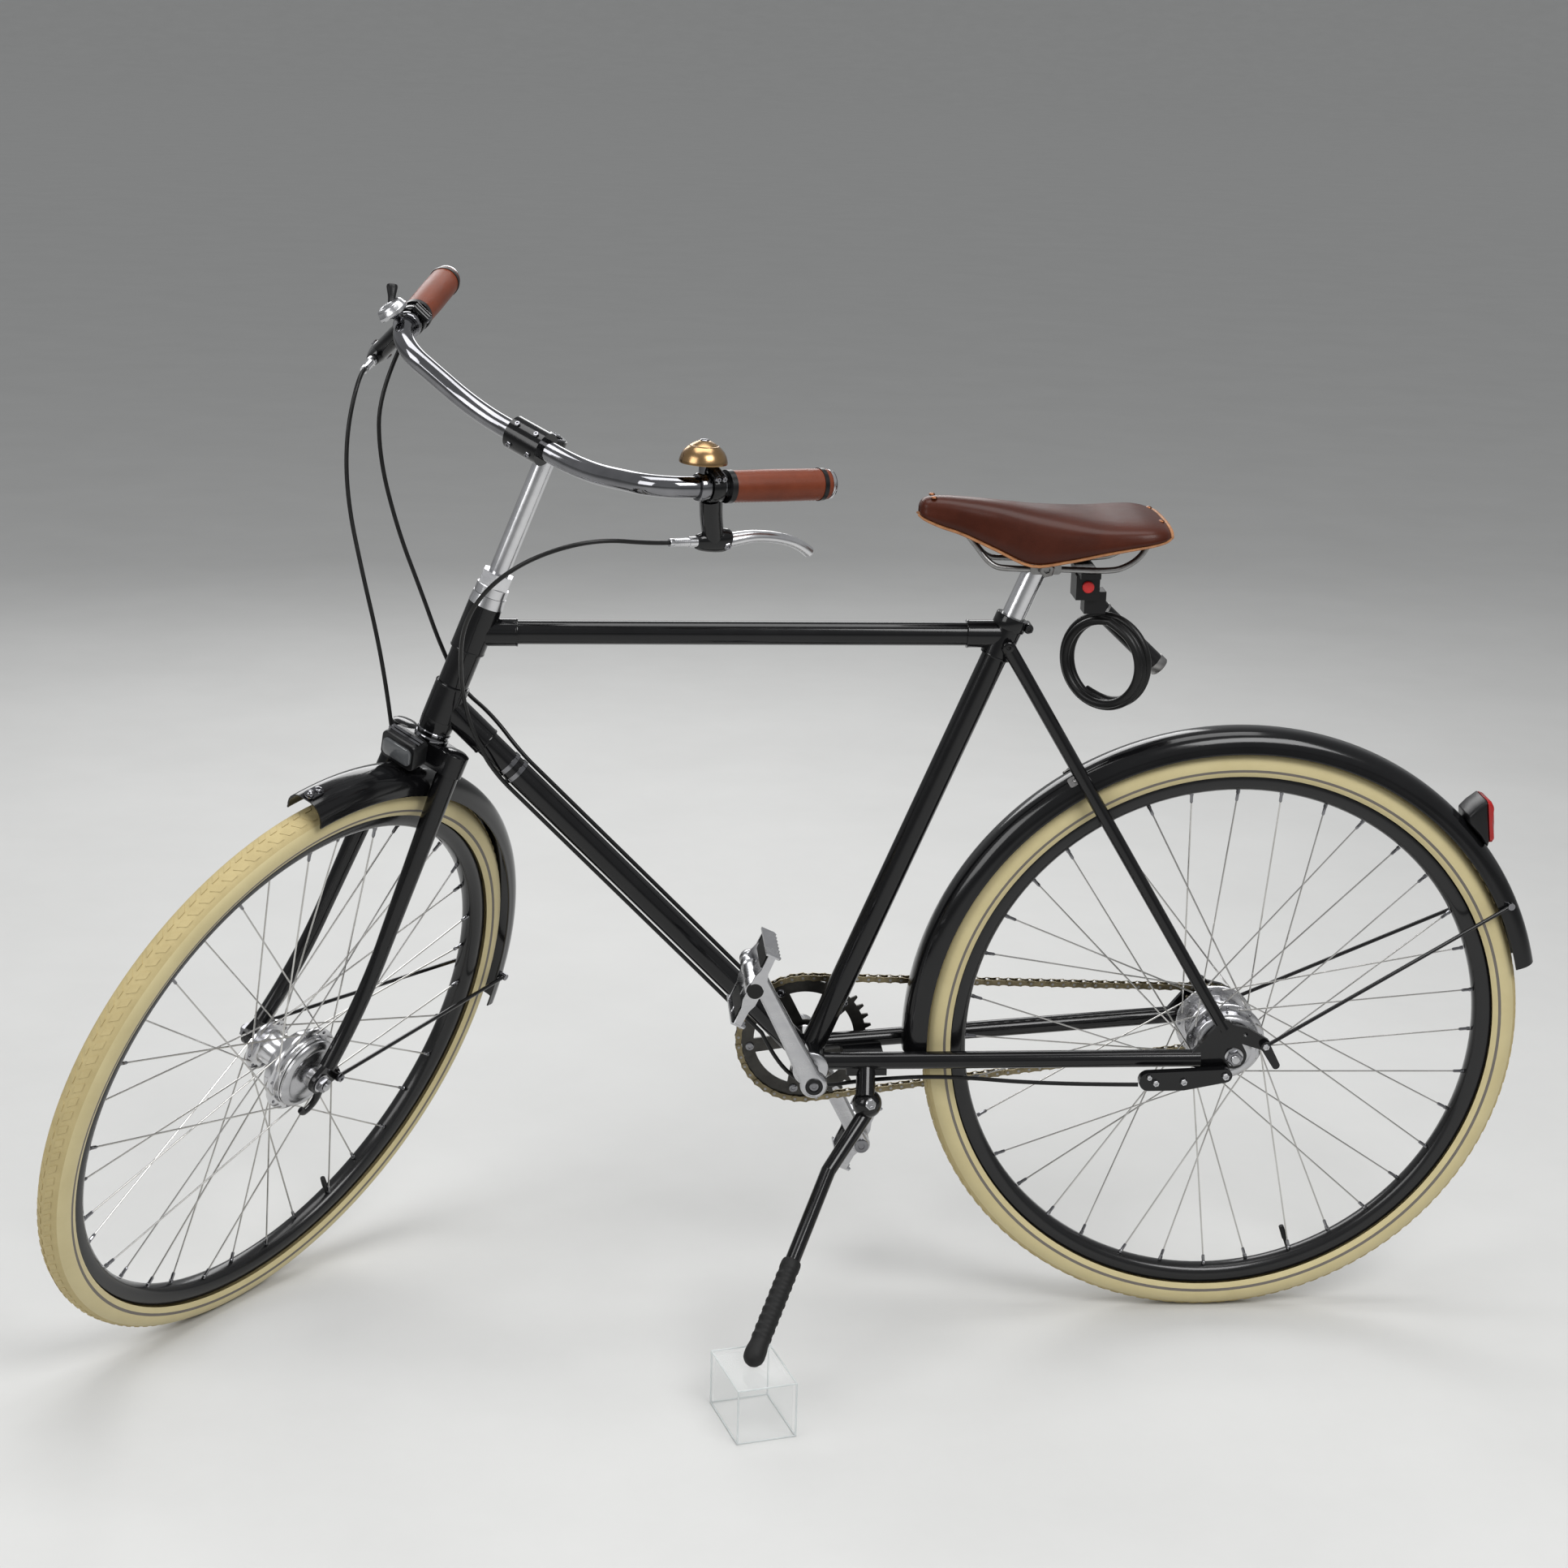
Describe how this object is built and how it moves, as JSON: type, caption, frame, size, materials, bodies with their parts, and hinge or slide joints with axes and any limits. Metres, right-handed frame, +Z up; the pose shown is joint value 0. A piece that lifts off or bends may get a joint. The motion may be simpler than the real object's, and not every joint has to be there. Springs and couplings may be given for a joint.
{
  "type": "city bicycle",
  "caption": "Lugged diamond-frame city bicycle with mudguards, drum hubs, leather saddle, coiled lock and a side stand resting on a clear riser, bars turned left.",
  "frame": {"origin": "on the floor, half-way between the axles of the straight bicycle", "axes": "+X forward along the bicycle, +Y to the rider's left, +Z up"},
  "size_m": [1.6727, 0.6007, 1.1959],
  "materials": {
    "frame_paint": "gloss",
    "bright_steel": "polished",
    "brushed_alloy": "satin",
    "dull_steel": "satin",
    "chain_steel": "oiled",
    "black_rim": "satin",
    "cream_tyre": "matte",
    "saddle_brown": "waxed",
    "grip_brown": "waxed",
    "black_plastic": "gloss",
    "black_rubber": "matte",
    "cable_black": "satin",
    "bell_brass": "polished",
    "red_lens": "gloss",
    "clear_riser": "clear"
  },
  "bodies": {
    "frame": {"head_tube": "frame_paint", "top_tube": "frame_paint", "down_tube": "frame_paint", "seat_tube": "frame_paint", "bracket_shell": "frame_paint", "chain_stays": "frame_paint", "seat_stays": "frame_paint", "dropouts": "frame_paint", "lugs": "frame_paint", "headset_cups": "bright_steel", "tube_bands": "bright_steel", "seat_post": "bright_steel", "saddle_leather": "saddle_brown", "saddle_rails": "dull_steel", "lock_bracket": "black_plastic", "lock_coil": "cable_black", "lock_barrel": "black_plastic", "rear_axle": "brushed_alloy", "rear_brake_arm": "frame_paint", "rear_mudguard": "frame_paint", "rear_guard_stays": "frame_paint", "tail_lamp": "black_plastic", "tail_lens": "red_lens", "chain": "chain_steel", "rear_cables": "cable_black", "bar_cables": "cable_black", "stand_bracket": "frame_paint", "riser": "clear_riser"},
    "steering": {"fork_crown": "frame_paint", "fork_blades": "frame_paint", "front_axle": "brushed_alloy", "stem_quill": "bright_steel", "stem_clamp": "frame_paint", "handlebar": "bright_steel", "grips": "grip_brown", "lever_brackets": "frame_paint", "lever_blades": "brushed_alloy", "bell": "bell_brass", "gear_shifter": "brushed_alloy", "front_lamp": "black_plastic", "front_mudguard": "frame_paint", "front_guard_stays": "frame_paint", "front_brake_cable": "cable_black"},
    "front_wheel": {"front_tyre": "cream_tyre", "front_rim": "black_rim", "front_spokes": "bright_steel", "front_hub": "brushed_alloy"},
    "rear_wheel": {"rear_tyre": "cream_tyre", "rear_rim": "black_rim", "rear_spokes": "bright_steel", "rear_hub": "brushed_alloy"},
    "sprocket": {"sprocket": "chain_steel"},
    "crank": {"crank_arms": "brushed_alloy", "chainring": "brushed_alloy"},
    "pedal_left": {"pedal_left": "brushed_alloy"},
    "pedal_right": {"pedal_right": "brushed_alloy"},
    "stand": {"stand_leg": "frame_paint", "stand_foot": "black_rubber"}
  },
  "joints": [
    {"name": "steering", "type": "hinge", "parent": "frame", "child": "steering", "pos_m": [0.52045, 0.01337, 0.32703], "axis": [-0.3706, 0.0373, 0.928], "range_deg": [-129, 21], "deforming": ["bar_cables"]},
    {"name": "front_wheel", "type": "hinge", "parent": "steering", "child": "front_wheel", "pos_m": [0.53594, 0.03672, 0.33228], "axis": [-0.7533, 0.5724, -0.3238], "continuous": true},
    {"name": "rear_wheel", "type": "hinge", "parent": "frame", "child": "rear_wheel", "pos_m": [-0.53901, 0.01429, 0.34986], "axis": [0, 0.9992, -0.0401], "continuous": true},
    {"name": "crank", "type": "hinge", "parent": "frame", "child": "crank", "pos_m": [-0.05727, 0.01323, 0.32343], "axis": [0, 0.9992, -0.0401], "range_deg": [-115, 115]},
    {"name": "sprocket", "type": "hinge", "parent": "frame", "child": "sprocket", "pos_m": [-0.53901, -0.03567, 0.35187], "axis": [0, 0.9992, -0.0401], "range_deg": [-243, 243]},
    {"name": "pedal_left", "type": "hinge", "parent": "crank", "child": "pedal_left", "pos_m": [0.01897, 0.10726, 0.47172], "axis": [0, 0.9992, -0.0401], "continuous": true},
    {"name": "pedal_right", "type": "hinge", "parent": "crank", "child": "pedal_right", "pos_m": [-0.13352, -0.0808, 0.17514], "axis": [0, 0.9992, -0.0401], "continuous": true},
    {"name": "stand", "type": "hinge", "parent": "frame", "child": "stand", "pos_m": [-0.12271, 0.06165, 0.28319], "axis": [0.2711, 0.4084, 0.8716], "range_deg": [0, 110]}
  ],
  "couplings": [
    {"joint": "sprocket", "follows": "crank", "ratio": 2.1111}
  ]
}
